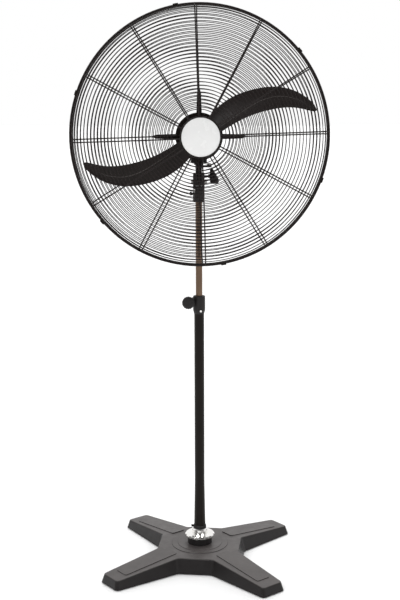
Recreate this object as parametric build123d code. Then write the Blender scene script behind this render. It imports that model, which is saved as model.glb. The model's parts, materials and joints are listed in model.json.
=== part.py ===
from build123d import *

import os
from math import acos, atan2, cos, degrees, hypot, pi, radians, sin, tan

# Industrial pedestal fan, 750 mm class. Millimetres, +Z up, +X to the viewer's right.
# The origin is on the floor on the pole axis, and the fan blows towards -Y.
# Head pieces are drawn in the head frame: X right, Y up, Z forward, with the hub axis on Z.

# Base
BASE_YAW = 36.9
ARM_TIP = 370.0
ARM_TIP_HALF = 40.5
ARM_ROOT = 139.0
ARM_ROOT_HALF = 54.6
BASE_TOP = 53.0
ARM_TIP_TOP = 31.5
BASE_UNDERSIDE = 3.0
BASE_DRAFT = 14.0
BASE_WALL = 7.0
BASE_EDGE = 4.5
TIP_ROUND = 13.0
WEB_ROUND = 22.0
SLOPE_START = 128.0
PLATFORM_R = 95.0
PLATFORM_TOP = 56.0
STEP_R = 74.0
PANEL_START = 118.0
PANEL_END = 328.0
PANEL_HALF = 27.0
PANEL_RISE = 1.8
FOOT_AT = 342.0
FOOT_R = 15.0
PANEL_ROUND = 8.0
HUB_BOSS_R = 24.0
BASE_BOLT_R = 6.0
BASE_BOLT_HEX = 19.0
BOLT_HEAD_LOW = 5.0
WASHER_LOW = 12.5
WASHER_MID = 14.0
WASHER_TOP = 16.0

# Pole
COLLAR_R = 41.0
COLLAR_TOP = 80.0
FERRULE_R = 25.5
FERRULE_TOP = 108.0
NUT_R = 49.5
NUT_TOP = 91.5
NUT_LOBES = 12
SCALLOP_R = 8.5
SCALLOP_DEPTH = 2.5
RING_SCREW_Z = 115.0
RING_SCREW_R = 4.2
RING_SCREW_OUT = 29.0
POLE_R = 16.25
POLE_WALL = 2.0
FLARE_R = 19.0
FLARE_LOW = 125.0
FLARE_HIGH = 275.0
POLE_BOTTOM = 71.0
POLE_TOP = 868.0
INNER_R = 11.0
INNER_WALL = 1.7
INNER_BOTTOM = 600.0
INNER_TOP = 1264.0
CLAMP_BOTTOM = 852.0
CLAMP_TOP = 912.0
CLAMP_R = 20.0
KNOB_X = -36.0
KNOB_Z = 892.0
KNOB_R = 20.5
KNOB_FLUTES = 18
STUD_R = 4.0
CLAMP_EAR = 12.0
CLAMP_SLIT = 1.3
RIVET_X = 5.0
RIVET_Z = CLAMP_BOTTOM + 11.0
PIN_HOLE_R = 2.05
BUSH_LENGTH = 40.0
BUSH_LIP = 2.0

# Neck
SOCKET_R = 19.0
SOCKET_BOTTOM = 1219.5
SOCKET_TOP = 1271.0
TILT_Z = 1285.0
LOCK_Z = 1303.0
TONGUE_HALF = 10.0
TONGUE_R = 13.0
EAR_OUTER = 18.5
TILT_DOWN = 8.0
TILT_UP = 25.0
THUMB_Z = 1247.0
SCREW_Z = 1257.0
LUG_X = 34.0
LUG_R = 8.0
LUG_LOW = 1331.0
LINK_LOW = 1338.0
LINK_HIGH = 1342.0
SPINDLE_R = 7.0
YOKE_BOTTOM = 1347.0
EAR_R = 11.0
PIVOT_R = 4.0
LOCK_R = 3.0
PIVOT_HEX = 13.0
NUT_HEIGHT = 6.0
THUMB_R = 6.0
SOCKET_SCREW_R = 2.5
CLIP_GROOVE = YOKE_BOTTOM + 15.4
LINK_END_R = 7.5
LINK_HALF = 5.0
LOCK_BOLT_END = 44.0
# height above the lock bolt, middle, half width, half depth
GRIP = [
    (-25, 50.5, 7, 6),
    (-18, 51, 14.5, 10),
    (0, 47.5, 12, 9),
    (16, 43, 7, 6),
    (25.5, 41, 3.5, 3.5),
]

# Head
HUB_Z = 1430.0
MOTOR_R = 64.0
MOTOR_WALL = 4.0
MOTOR_FRONT = 57.0
MOTOR_SPLIT = -20.0
MOTOR_REAR = -87.0
BOLT_CIRCLE = 65.5
SHAFT_R = 6.0
BEARING_R = 14.0
BEARING_WIDE = 8.0
MOTOR_BOSS_R = 6.2
MOTOR_BOLT_R = 2.5
MOTOR_HOLE_R = 2.6
NOSE_ROUND = 9.0
NOSE_WALL = 6.0
STACK = (-45.0, 15.0)
STATOR_BORE = 36.6
STATOR_SLOTS = 24
ROTOR_R = 36.0
TAIL_R = 2.5
SPIDER_R = 75.0
SPIDER_FRONT = 64.0
SPIDER_REACH = 148.0
RIM = 150.0
GUARD_R = 400.0
HOOP_WIRE = 3.5
HOOP_GAP = 5.0
RIB_WIRE = 2.0
RING_WIRE = 1.3
WIRE_SIDES = 12
RING_PITCH = 10.6
RIB_COUNT = 12
RIB_CLOCK = 1.8
# Rib corners as (radius, forward), the bends between them, and how far the ribs sit off centre
REAR_CORNERS = [(58, 66), (356, 70), (393, 94)]
REAR_BENDS = [40, 50]
REAR_RIB_SHIFT = -4.5
REAR_FIRST_RING = 27.0
FRONT_CORNERS = [(48, 216), (275, 207), (374, 184)]
FRONT_BENDS = [320, 34]
FRONT_RIB_SHIFT = 3.5
FRONT_FIRST_RING = 41.0
SPIDER_BORE = 24.0
SPIDER_ARM = 3.4
PLATE_THICK = 4.0
BADGE_R = 60.0
BADGE_EDGE = 2.5
BADGE_HEIGHT = 8.0
PLATE_Z = 218.0
CLIP_CLOCK = 40.5
CLIP_COUNT = 6
CLIP_ARC = 2.3
CLIP_THICK = 2.0

# Blade
BLADE_Z = 130.0
BLADE_CLOCK = 27.0
BLADE_HUB_R = 40.0
BLADE_THICK = 3.0
BLADE_CAMBER = 0.09
BLADE_BORE = 12.0
BLADE_BACK = BLADE_Z - 19.0
BLADE_FRONT = BLADE_Z + 17.0
# distance along the wing, lower edge, upper edge, pitch in degrees
WING = [
    (14.0, -18.0, 22.0, 30.0),
    (68.0, -16.0, 47.5, 27.0),
    (131.0, -12.0, 61.5, 24.0),
    (187.0, -16.5, 58.5, 21.0),
    (238.0, -28.0, 46.0, 18.0),
    (285.0, -46.0, 24.5, 15.5),
    (323.0, -71.5, -7.5, 13.0),
    (350.0, -92.5, -49.0, 11.0),
    (359.0, -91.0, -75.0, 10.0),
]

# Oscillating gear
WORM_PITCH = 1.5 * pi
WORM_CORE = 5.0
WORM_R = 7.9
WHEEL_TEETH = 24
WHEEL_X = 24.5
WHEEL_Y = 110.0
PINION_TEETH = 10
OUTPUT_TEETH = 50
GEAR_CENTRES = 30.0
GEAR_LOW = 1397.0
GEAR_HIGH = 1403.0
CRANK_Y = WHEEL_Y + (GEAR_CENTRES**2 - WHEEL_X**2) ** 0.5
CRANK_THROW = 23.6
LINK_LENGTH = 129.6
CRANK_LOW = 1347.0
CRANK_HIGH = 1352.0
CRANK_R = 30.0
CRANK_SHAFT_R = 5.0
ARBOR_R = 3.0
WORM_TURNS = 6

# Rear boxes, as x0, x1, y0, y1 and, for the switch, z0, z1
CASE = (-31.0, 48.0, 87.0, 158.0)
CASE_LOW = 1390.0
CASE_HIGH = 1450.0
SWITCH = (-46.0, 6.0, 87.0, 124.0, 1456.0, 1484.0)
SWITCH_MID = (-20.0, 1470.0)
CASE_WALL = 3.0
CASE_ROUND = 8.0
SWITCH_WALL = 2.5
CLUTCH_R = 5.5
GLAND_Y = 105.0
GLAND_R = 5.0
CORD_R = 3.6
CAN_R = 13.0
CAN_LENGTH = 48.0

RUNNING = 0.06
TOUCH = 0.1

MID = (Align.CENTER, Align.CENTER, Align.MIN)
HEAD = Location((0, 0, HUB_Z), (90, 0, 0))


def rod(radius, low, high, x=0.0, y=0.0):
    """An upright cylinder between two heights."""
    return Pos(x, y, low) * Cylinder(radius, high - low, align=MID)


def ring(outer, inner, low, high, x=0.0, y=0.0):
    return rod(outer, low, high, x, y) - rod(inner, low - 1, high + 1, x, y)


def block(x0, x1, y0, y1, z0, z1):
    centre = Pos((x0 + x1) / 2, (y0 + y1) / 2, (z0 + z1) / 2)
    return centre * Box(x1 - x0, y1 - y0, z1 - z0)


def rod_x(radius, x0, x1, y, z):
    """A cylinder along X."""
    return Location((x0, y, z), (0, 90, 0)) * Cylinder(radius, x1 - x0, align=MID)


def rod_y(radius, y0, y1, x, z):
    """A cylinder along Y."""
    return Location((x, y1, z), (90, 0, 0)) * Cylinder(radius, y1 - y0, align=MID)


def hexagon(across, low, high):
    flat = RegularPolygon(across / 2, 6, major_radius=False)
    return Pos(0, 0, low) * extrude(flat, high - low)


def spun(points):
    """A solid turned about Z from an outline of (radius, height) corners."""
    outline = Polyline(*[(r, 0, z) for r, z in points], close=True)
    return revolve(make_face(outline), Axis.Z)


def clocked(shape, count, start=0.0):
    """The same piece repeated round Z."""
    step = 360.0 / count
    return [Rot(0, 0, start + step * index) * shape for index in range(count)]


def group(shapes):
    return Compound(children=[Compound([shape.solid()]) for shape in shapes])


# ---------------------------------------------------------------- base


def cross_outline(grow):
    """Plan of the four-arm cross, with its sides moved out by grow."""
    # The tip's measured top edge is lower than the platform, so its sides draft in above it.
    inset = (BASE_TOP - ARM_TIP_TOP) * tan(radians(BASE_DRAFT))
    end, end_half = ARM_TIP - inset, ARM_TIP_HALF - inset
    taper = atan2(ARM_ROOT_HALF - end_half, end - ARM_ROOT)
    web = (ARM_ROOT + ARM_ROOT_HALF) / 2**0.5
    tip = end + grow
    tip_half = end_half + grow / cos(taper) - grow * tan(taper)
    # Where the arm's side meets the web's straight edge, both moved out by grow.
    side = end_half + grow / cos(taper) + end * tan(taper)
    root = ((web + grow) * 2**0.5 - side) / (1 - tan(taper))
    root_half = side - root * tan(taper)
    arm = [(root, -root_half), (tip, -tip_half), (tip, tip_half), (root, root_half)]
    points = []
    for quarter in range(4):
        turn = radians(90 * quarter)
        for x, y in arm:
            points.append((x * cos(turn) - y * sin(turn), x * sin(turn) + y * cos(turn)))
    outline = Polygon(*points, align=None)
    # The tips' corners lie far out and the web's close in, so their reach tells them apart.
    tips = outline.vertices().filter_by(lambda v: hypot(v.X, v.Y) > 2 * ARM_ROOT)
    outline = fillet(tips, TIP_ROUND)
    webs = outline.vertices().filter_by(lambda v: hypot(v.X, v.Y) < 2 * ARM_ROOT)
    return fillet(webs, WEB_ROUND)


def cross_body(grow, top_drop, low):
    """The drafted cross from its underside up, its arms sloping down to their tips."""
    top = BASE_TOP - top_drop
    slope = (BASE_TOP - ARM_TIP_TOP) / (ARM_TIP - SLOPE_START)
    draft = tan(radians(BASE_DRAFT))
    lower = cross_outline((BASE_TOP - low) * draft - grow)
    upper = cross_outline((BASE_TOP - top) * draft - grow)
    body = loft([Pos(0, 0, low) * lower, Pos(0, 0, top) * upper], ruled=True)
    reach = ARM_TIP + 60
    wedge = Polyline(
        (SLOPE_START, 0, top),
        (reach, 0, top - slope * (reach - SLOPE_START)),
        (reach, 0, top + 20),
        (SLOPE_START, 0, top + 20),
        close=True,
    )
    cutter = extrude(make_face(wedge), 120, both=True)
    for piece in clocked(cutter, 4):
        body -= piece
    return body


def base_casting():
    slope = atan2(BASE_TOP - ARM_TIP_TOP, ARM_TIP - SLOPE_START)
    body = cross_body(0, 0, BASE_UNDERSIDE)
    rims = body.edges().filter_by(lambda e: e.bounding_box().min.Z > BASE_UNDERSIDE + 5)
    body = fillet(rims, BASE_EDGE)
    hollow = cross_body(BASE_WALL, BASE_WALL, BASE_UNDERSIDE - 2)
    body -= hollow
    length = PANEL_END - PANEL_START
    panel = Pos(length / 2, 0, 0) * RectangleRounded(length, 2 * PANEL_HALF, PANEL_ROUND)
    panel = extrude(Pos(0, 0, -2) * panel, 2 + PANEL_RISE)
    start = BASE_TOP + (SLOPE_START - PANEL_START) * tan(slope)
    panel = Pos(PANEL_START, 0, start) * Rot(0, degrees(slope), 0) * panel
    panel = panel & rod(ARM_TIP, BASE_UNDERSIDE, PLATFORM_TOP)
    for piece in clocked(panel, 4):
        body += piece
    platform = spun(
        [
            (0, BASE_TOP - 2),
            (PLATFORM_R + 3, BASE_TOP - 2),
            (PLATFORM_R, BASE_TOP + 1.6),
            (STEP_R + 2, BASE_TOP + 1.6),
            (STEP_R, PLATFORM_TOP),
            (0, PLATFORM_TOP),
        ]
    )
    body += platform
    body += rod(HUB_BOSS_R, WASHER_TOP, BASE_TOP - BASE_WALL + 1)
    for foot in clocked(rod(FOOT_R - 2, BASE_UNDERSIDE, ARM_TIP_TOP - 4, FOOT_AT), 4):
        body += foot
    body -= rod(BASE_BOLT_R + 0.4, 0, PLATFORM_TOP + 5)
    return Rot(0, 0, BASE_YAW) * body


def base_feet():
    foot = spun([(0, 0), (FOOT_R - 2, 0), (FOOT_R, BASE_UNDERSIDE), (0, BASE_UNDERSIDE)])
    return group(clocked(Pos(FOOT_AT, 0, 0) * foot, 4, BASE_YAW))


def base_fasteners():
    hole = BASE_BOLT_R + 0.3
    bolt = hexagon(BASE_BOLT_HEX, BOLT_HEAD_LOW, WASHER_LOW) + rod(BASE_BOLT_R, WASHER_LOW, POLE_BOTTOM - 3)
    spring_washer = ring(10.5, hole, WASHER_LOW, WASHER_MID)
    spring_washer -= block(6, 12, -0.6, 0.6, WASHER_LOW - 0.5, WASHER_MID + 1)
    washer = ring(16, hole, WASHER_MID, WASHER_TOP)
    return group([bolt, spring_washer, washer])


def base_collar():
    return spun(
        [
            (FERRULE_R + TOUCH, PLATFORM_TOP),
            (COLLAR_R - 1, PLATFORM_TOP),
            (COLLAR_R, PLATFORM_TOP + 1),
            (COLLAR_R, COLLAR_TOP - 5),
            (COLLAR_R - 4, COLLAR_TOP),
            (FERRULE_R + TOUCH, COLLAR_TOP),
        ]
    )


def lock_nut():
    body = spun(
        [
            (FERRULE_R + RUNNING, COLLAR_TOP + 0.3),
            (NUT_R - 2, COLLAR_TOP + 0.3),
            (NUT_R, COLLAR_TOP + 2.3),
            (NUT_R, NUT_TOP - 5),
            (NUT_R - 2.5, NUT_TOP - 2),
            (FERRULE_R + 5, NUT_TOP),
            (FERRULE_R + RUNNING, NUT_TOP),
        ]
    )
    scallop = rod(SCALLOP_R, COLLAR_TOP - 1, NUT_TOP + 1, NUT_R + SCALLOP_R - SCALLOP_DEPTH)
    for piece in clocked(scallop, NUT_LOBES, 180 / NUT_LOBES):
        body -= piece
    return body


def pole_ferrule():
    body = spun(
        [
            (0, PLATFORM_TOP),
            (FERRULE_R, PLATFORM_TOP),
            (FERRULE_R, FERRULE_TOP - 3),
            (FERRULE_R - 3, FERRULE_TOP),
            (FLARE_R + TOUCH / 2, FERRULE_TOP),
            (FLARE_R + TOUCH / 2, POLE_BOTTOM),
            (0, POLE_BOTTOM),
        ]
    )
    return body - rod(BASE_BOLT_R + TOUCH / 2, PLATFORM_TOP - 1, POLE_BOTTOM + 1)


def pole_ring():
    low = FERRULE_TOP + 0.3
    body = spun(
        [
            (FLARE_R + TOUCH / 2, low),
            (FLARE_R + 3, low),
            (FLARE_R + 3, low + 8),
            (FLARE_R + 1.5, low + 11),
            (FLARE_R + TOUCH / 2, low + 11),
        ]
    )
    return body - rod_x(PIN_HOLE_R, -RING_SCREW_OUT, -POLE_R, 0, RING_SCREW_Z)


def ring_screw():
    shank = rod_x(2.0, -FLARE_R - 3.2, -FLARE_R - 0.4, 0, RING_SCREW_Z)
    return shank + rod_x(RING_SCREW_R, -RING_SCREW_OUT, -FLARE_R - 3.0, 0, RING_SCREW_Z)


def outer_pole():
    def wall(radius):
        return [(radius, POLE_BOTTOM), (radius, FLARE_LOW)]

    inside = FLARE_R - POLE_WALL
    bore = POLE_R - POLE_WALL
    return spun(
        wall(FLARE_R)
        + [(POLE_R, FLARE_HIGH), (POLE_R, POLE_TOP), (bore, POLE_TOP), (bore, FLARE_HIGH)]
        + wall(inside)[::-1]
    )


def guide_bush():
    bore = POLE_R - POLE_WALL
    sleeve = ring(bore - TOUCH / 2, INNER_R + RUNNING, POLE_TOP - BUSH_LENGTH, POLE_TOP)
    return sleeve + ring(POLE_R - 1, INNER_R + RUNNING, POLE_TOP, POLE_TOP + BUSH_LIP)


def height_clamp():
    body = spun(
        [
            (0, CLAMP_BOTTOM),
            (CLAMP_R - 3.5, CLAMP_BOTTOM),
            (CLAMP_R, CLAMP_BOTTOM + 12),
            (CLAMP_R, CLAMP_TOP - 2),
            (CLAMP_R - 2, CLAMP_TOP),
            (0, CLAMP_TOP),
        ]
    )
    ear = CLAMP_EAR
    above_bush = POLE_TOP + BUSH_LIP + 0.2
    body += block(KNOB_X, -10, -ear, ear, KNOB_Z - ear, KNOB_Z + ear)
    body += rod_y(ear, -ear, ear, KNOB_X, KNOB_Z)
    body -= rod(POLE_R + TOUCH / 2, CLAMP_BOTTOM - 1, above_bush)
    body -= rod(INNER_R + 0.4, CLAMP_BOTTOM, CLAMP_TOP + 1)
    body -= block(KNOB_X - 20, -5, -CLAMP_SLIT, CLAMP_SLIT, above_bush, CLAMP_TOP + 1)
    body -= rod_y(STUD_R + RUNNING, -30, 30, KNOB_X, KNOB_Z)
    return body - rod_y(PIN_HOLE_R, -30, 0, RIVET_X, RIVET_Z)


def clamp_rivet():
    seat = -CLAMP_R - 0.3
    return rod_y(3.4, seat - 2.2, seat, RIVET_X, RIVET_Z) + rod_y(2.0, seat, -16.5, RIVET_X, RIVET_Z)


def height_knob():
    """Round knob with a fluted rim and its clamping stud."""
    back = -15.0
    body = spun([(0, 0), (15, 0), (KNOB_R, 4), (KNOB_R, 14), (15.5, 18.5), (9, 19.5), (0, 19.5)])
    for flute in clocked(rod(2.2, -1, 22, KNOB_R + 1.2), KNOB_FLUTES):
        body -= flute
    body = Location((KNOB_X, back, KNOB_Z), (90, 0, 0)) * body
    return body + rod_y(STUD_R, back - 1, 17, KNOB_X, KNOB_Z)


# ---------------------------------------------------------------- mast and neck


def inner_pole():
    return ring(INNER_R, INNER_R - INNER_WALL, INNER_BOTTOM, INNER_TOP)


def neck_socket():
    body = spun(
        [
            (0, SOCKET_BOTTOM),
            (SOCKET_R - 2, SOCKET_BOTTOM),
            (SOCKET_R, SOCKET_BOTTOM + 3),
            (SOCKET_R, SOCKET_TOP - 2),
            (SOCKET_R - 2, SOCKET_TOP),
            (0, SOCKET_TOP),
        ]
    )
    inner = TONGUE_HALF + 0.3
    for x0, x1 in ((-EAR_OUTER, -inner), (inner, EAR_OUTER)):
        body += block(x0, x1, -EAR_R, EAR_R, SOCKET_TOP - 6, LOCK_Z)
        body += rod_x(EAR_R, x0, x1, 0, LOCK_Z)
    body -= block(-inner, inner, -30, 30, SOCKET_TOP, LOCK_Z + 20)
    body -= rod_x(PIVOT_R + 0.02, -30, 30, 0, TILT_Z)
    body -= rod_x(LOCK_R + RUNNING, -30, 30, 0, LOCK_Z)
    body -= rod(INNER_R + TOUCH / 2, SOCKET_BOTTOM - 1, INNER_TOP + 0.3)
    body -= rod_x(LOCK_R + RUNNING, -30, 0, 0, THUMB_Z)
    return body - Rot(0, 0, -45) * rod_y(SOCKET_SCREW_R + TOUCH / 2, -30, 0, 0, SCREW_Z)


def socket_screw():
    """Screw at the socket's front left that stops the socket turning on the pole."""
    height = SCREW_Z
    screw = rod_y(SOCKET_SCREW_R, -SOCKET_R - 1, -INNER_R - 0.5, 0, height)
    screw += rod_y(4.4, -SOCKET_R - 2.6, -SOCKET_R, 0, height)
    slot = block(-5, 5, -SOCKET_R - 3, -SOCKET_R - 1.8, height - 0.5, height + 0.5)
    return Rot(0, 0, -45) * (screw - slot)


def thumb_screw():
    shank = rod_x(LOCK_R, -SOCKET_R - 3, -INNER_R - 0.5, 0, THUMB_Z)
    head = rod_x(THUMB_R, -SOCKET_R - 10, -SOCKET_R - 3, 0, THUMB_Z)
    reach = THUMB_R + 0.3
    for notch in range(10):
        turn = radians(36 * notch)
        head -= rod_x(1.0, -SOCKET_R - 11, -SOCKET_R - 2, reach * cos(turn), THUMB_Z + reach * sin(turn))
    return shank + head


def tilt_bolt():
    head = Location((-EAR_OUTER - NUT_HEIGHT, 0, TILT_Z), (0, 90, 0)) * hexagon(PIVOT_HEX, 0, NUT_HEIGHT)
    return head + rod_x(PIVOT_R, -EAR_OUTER, EAR_OUTER + 8, 0, TILT_Z)


def tilt_nut():
    nut = Location((EAR_OUTER + 0.1, 0, TILT_Z), (0, 90, 0)) * hexagon(PIVOT_HEX, 0, NUT_HEIGHT)
    return nut - rod_x(PIVOT_R + TOUCH / 2, EAR_OUTER - 1, EAR_OUTER + 8, 0, TILT_Z)


def neck_column():
    """Tilting tongue, column, linkage lug and oscillation spindle in one casting."""
    half = TONGUE_HALF
    body = rod_x(TONGUE_R, -half, half, 0, TILT_Z)
    body += block(-half, half, -TONGUE_R, TONGUE_R, TILT_Z, TILT_Z + 42)
    body += rod(11, TILT_Z + 40, YOKE_BOTTOM - 6)
    body += rod(15, YOKE_BOTTOM - 8, YOKE_BOTTOM - 0.3)
    body += block(0, LUG_X, -LUG_R, LUG_R, LUG_LOW, LINK_LOW - 0.3)
    body += rod(LUG_R, LUG_LOW, LINK_LOW - 0.3, LUG_X)
    body += rod(SPINDLE_R, YOKE_BOTTOM - 1, YOKE_BOTTOM + 18.3)
    body -= ring(SPINDLE_R + 1, SPINDLE_R - 1, CLIP_GROOVE, CLIP_GROOVE + 1.2)
    body -= rod_x(PIVOT_R + RUNNING, -half - 1, half + 1, 0, TILT_Z)
    body -= rod(PIVOT_R + 0.02, LUG_LOW - 1, LINK_LOW + 1, LUG_X)
    reach = LOCK_Z - TILT_Z
    arc = CenterArc((0, 0), reach, 90 - TILT_DOWN - 2, TILT_UP + TILT_DOWN + 4)
    slot = extrude(SlotArc(arc, 6.8), 30, both=True)
    # The slot's own X runs along +Y. As the nose tilts up the bolt travels towards -Y in it.
    return body - Location(Plane(origin=(0, 0, TILT_Z), x_dir=(0, 1, 0), z_dir=(1, 0, 0))) * slot


def spindle_clip():
    low = CLIP_GROOVE + 0.1
    clip = ring(SPINDLE_R + 2.5, SPINDLE_R - 0.9, low, low + 1.0)
    return clip - block(0, 12, -3, 3, low - 1, low + 2)


def lug_pin():
    shank = rod(PIVOT_R, LUG_LOW, LINK_HIGH + 0.3, LUG_X)
    return shank + rod(6.0, LINK_HIGH + 0.3, LINK_HIGH + 2.3, LUG_X)


def crank_angle():
    """Direction of the crank pin from the crank's axis at rest, in degrees."""
    span = hypot(LUG_X, CRANK_Y)
    swing = acos((CRANK_THROW**2 + span**2 - LINK_LENGTH**2) / (2 * CRANK_THROW * span))
    return degrees(atan2(-CRANK_Y, LUG_X) + swing)


def link_arm():
    """The oscillating link, drawn along +X from its lug end and turned into place."""
    turn = radians(crank_angle())
    pin_x = CRANK_THROW * cos(turn)
    pin_y = CRANK_Y + CRANK_THROW * sin(turn)
    bearing = degrees(atan2(pin_y, pin_x - LUG_X))
    bar = rod(LINK_END_R, LINK_LOW, LINK_HIGH) + rod(LINK_END_R, LINK_LOW, LINK_HIGH, LINK_LENGTH)
    bar += block(0, LINK_LENGTH, -LINK_HALF, LINK_HALF, LINK_LOW, LINK_HIGH)
    bar -= rod(PIVOT_R + RUNNING, LINK_LOW - 1, LINK_HIGH + 1)
    bar -= rod(PIVOT_R + 0.3, LINK_LOW - 1, LINK_HIGH + 1, LINK_LENGTH)
    return Pos(LUG_X, 0, 0) * Rot(0, 0, bearing) * bar


def tilt_lock_bolt():
    return rod_x(LOCK_R, -EAR_OUTER, LOCK_BOLT_END, 0, LOCK_Z)


def tilt_knob():
    """Pear-shaped grip on the lock bolt, narrow above and wide below."""
    rounds = [Pos(x, 0, LOCK_Z + z) * Ellipse(half_x, half_y) for z, x, half_x, half_y in GRIP]
    grip = loft(rounds) + rod_x(6.5, 31, LOCK_BOLT_END, 0, LOCK_Z)
    return grip - rod_x(LOCK_R + TOUCH / 2, 20, LOCK_BOLT_END + TOUCH, 0, LOCK_Z)


# ---------------------------------------------------------------- motor, in the head frame


def bolt_places():
    return [Rot(0, 0, 45 + 90 * quarter) * Pos(BOLT_CIRCLE, 0, 0) for quarter in range(4)]


def shell(near, far, nose):
    """Half of the motor casing between two stations, closed at its nose end."""
    low, high = min(near, far), max(near, far)
    body = rod(MOTOR_R, low, high)
    edge = body.edges().sort_by(Axis.Z)[-1 if nose > 0 else 0]
    body = fillet(edge, NOSE_ROUND)
    boss_low, boss_high = (low, high - NOSE_ROUND) if nose > 0 else (low + NOSE_ROUND, high)
    for place in bolt_places():
        body += place * rod(MOTOR_BOSS_R, boss_low, boss_high)
    seat_long = BEARING_WIDE + 1
    if nose > 0:
        inside = high - NOSE_WALL
        cavity = (low - 1, inside)
        boss = rod(BEARING_R + 5, inside - seat_long, inside + 1)
        seat = (inside - seat_long - 1, inside - 1)
    else:
        inside = low + NOSE_WALL
        cavity = (inside, high + 1)
        boss = rod(BEARING_R + 5, inside - 1, inside + seat_long)
        seat = (inside + 1, inside + seat_long + 1)
    body -= rod(MOTOR_R - MOTOR_WALL, *cavity)
    body += boss
    body -= rod(BEARING_R, *seat)
    body -= rod(SHAFT_R + 2, low - 1, high + 1)
    for place in bolt_places():
        body -= place * rod(MOTOR_HOLE_R, low - 1, high + 1)
    return body


def motor_front_shell():
    return HEAD * shell(MOTOR_SPLIT, MOTOR_FRONT, 1)


def motor_rear_shell():
    return HEAD * shell(MOTOR_REAR, MOTOR_SPLIT, -1)


def motor_bolts():
    bolts = []
    for place in bolt_places():
        bolt = rod(MOTOR_BOLT_R, MOTOR_REAR + 10, SPIDER_FRONT) + rod(4.6, SPIDER_FRONT, SPIDER_FRONT + 3.2)
        bolts.append(HEAD * place * bolt)
    return group(bolts)


def shaft_bearings():
    front = MOTOR_FRONT - NOSE_WALL - 1
    rear = MOTOR_REAR + NOSE_WALL + 1
    spans = ((front - BEARING_WIDE, front), (rear, rear + BEARING_WIDE))
    return group([HEAD * ring(BEARING_R, SHAFT_R + RUNNING, low, high) for low, high in spans])


def stator_core():
    low, high = STACK
    body = ring(MOTOR_R - MOTOR_WALL - TOUCH, STATOR_BORE, low, high)
    for slot in clocked(rod(4.2, low - 1, high + 1, 44.5), STATOR_SLOTS):
        body -= slot
    return HEAD * body


def stator_windings():
    front = spun([(40, 15.3), (56, 15.3), (57, 19), (53, 26), (44, 26), (40, 20)])
    rear = spun([(40, -45.3), (56, -45.3), (57, -49), (53, -58), (44, -58), (40, -50)])
    return group([HEAD * front, HEAD * rear])


def rotor_core():
    low, high = STACK
    body = ring(ROTOR_R, SHAFT_R + TOUCH / 2, low, high)
    return HEAD * (body + ring(30, 22, high, high + 7) + ring(30, 22, low - 7, low))


def motor_shaft():
    body = rod(SHAFT_R, MOTOR_REAR - 2, BLADE_Z + 32)
    return HEAD * (body + rod(TAIL_R, MOTOR_REAR - 38, MOTOR_REAR - 1))


def worm():
    """Right-handed single-start worm on the shaft's rear end."""
    length = WORM_TURNS * WORM_PITCH
    low = -WHEEL_Y - length / 2
    path = Helix(WORM_PITCH, length, WORM_CORE)
    height = WORM_R - WORM_CORE
    tooth = Polygon((-0.4, -1.3), (height, -0.8), (height, 0.8), (-0.4, 1.3), align=None)
    start = Plane(origin=path @ 0, x_dir=(1, 0, 0), z_dir=path % 0)
    thread = Pos(0, 0, low) * sweep(start * tooth, path=path, is_frenet=True)
    core = rod(WORM_CORE, low - 3, low + length + 3)
    bore = rod(TAIL_R + TOUCH / 4, low - 5, low + length + 5)
    return HEAD * (core + thread - bore)


def gear(teeth, root, tip, low, high):
    """A spur gear about Z with one tooth centred on +X."""
    step = 2 * pi / teeth
    corners = []
    for index in range(teeth):
        middle = index * step
        for radius, share in ((root, -0.28), (tip, -0.12), (tip, 0.12), (root, 0.28)):
            turn = middle + share * step
            corners.append((radius * cos(turn), radius * sin(turn)))
    return Pos(0, 0, low) * extrude(Polygon(*corners, align=None), high - low)


def reduction_gear():
    wheel = Rot(0, 0, 180 / WHEEL_TEETH) * gear(WHEEL_TEETH, 16.2, 19.2, HUB_Z - 2.5, HUB_Z + 2.5)
    mesh = degrees(atan2(CRANK_Y - WHEEL_Y, -WHEEL_X))
    pinion = Rot(0, 0, mesh) * gear(PINION_TEETH, 3.8, 5.8, GEAR_LOW, GEAR_HIGH)
    arbor = rod(ARBOR_R, CASE_LOW + 0.5, CASE_HIGH - 2)
    arbor += rod(6, GEAR_HIGH, HUB_Z - 2.5) + rod(8, HUB_Z - 5, HUB_Z + 4)
    return Pos(WHEEL_X, WHEEL_Y, 0) * (wheel + pinion + arbor)


def output_gear():
    mesh = degrees(atan2(WHEEL_Y - CRANK_Y, WHEEL_X))
    teeth = Rot(0, 0, mesh + 180 / OUTPUT_TEETH) * gear(OUTPUT_TEETH, 23.8, 25.8, GEAR_LOW, GEAR_HIGH)
    body = teeth + rod(9, GEAR_HIGH, GEAR_HIGH + 4)
    return Pos(0, CRANK_Y, 0) * (body - rod(CRANK_SHAFT_R + TOUCH / 4, GEAR_LOW - 1, GEAR_HIGH + 5))


def crank_disc():
    turn = radians(crank_angle())
    body = rod(CRANK_R, CRANK_LOW, CRANK_HIGH) + rod(CRANK_SHAFT_R, CRANK_HIGH - 1, GEAR_HIGH + 6)
    pin_x = CRANK_THROW * cos(turn)
    pin_y = CRANK_THROW * sin(turn)
    body += rod(PIVOT_R, LINK_HIGH + 0.5, CRANK_LOW + 1, pin_x, pin_y)
    return Pos(0, CRANK_Y, 0) * body


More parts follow.
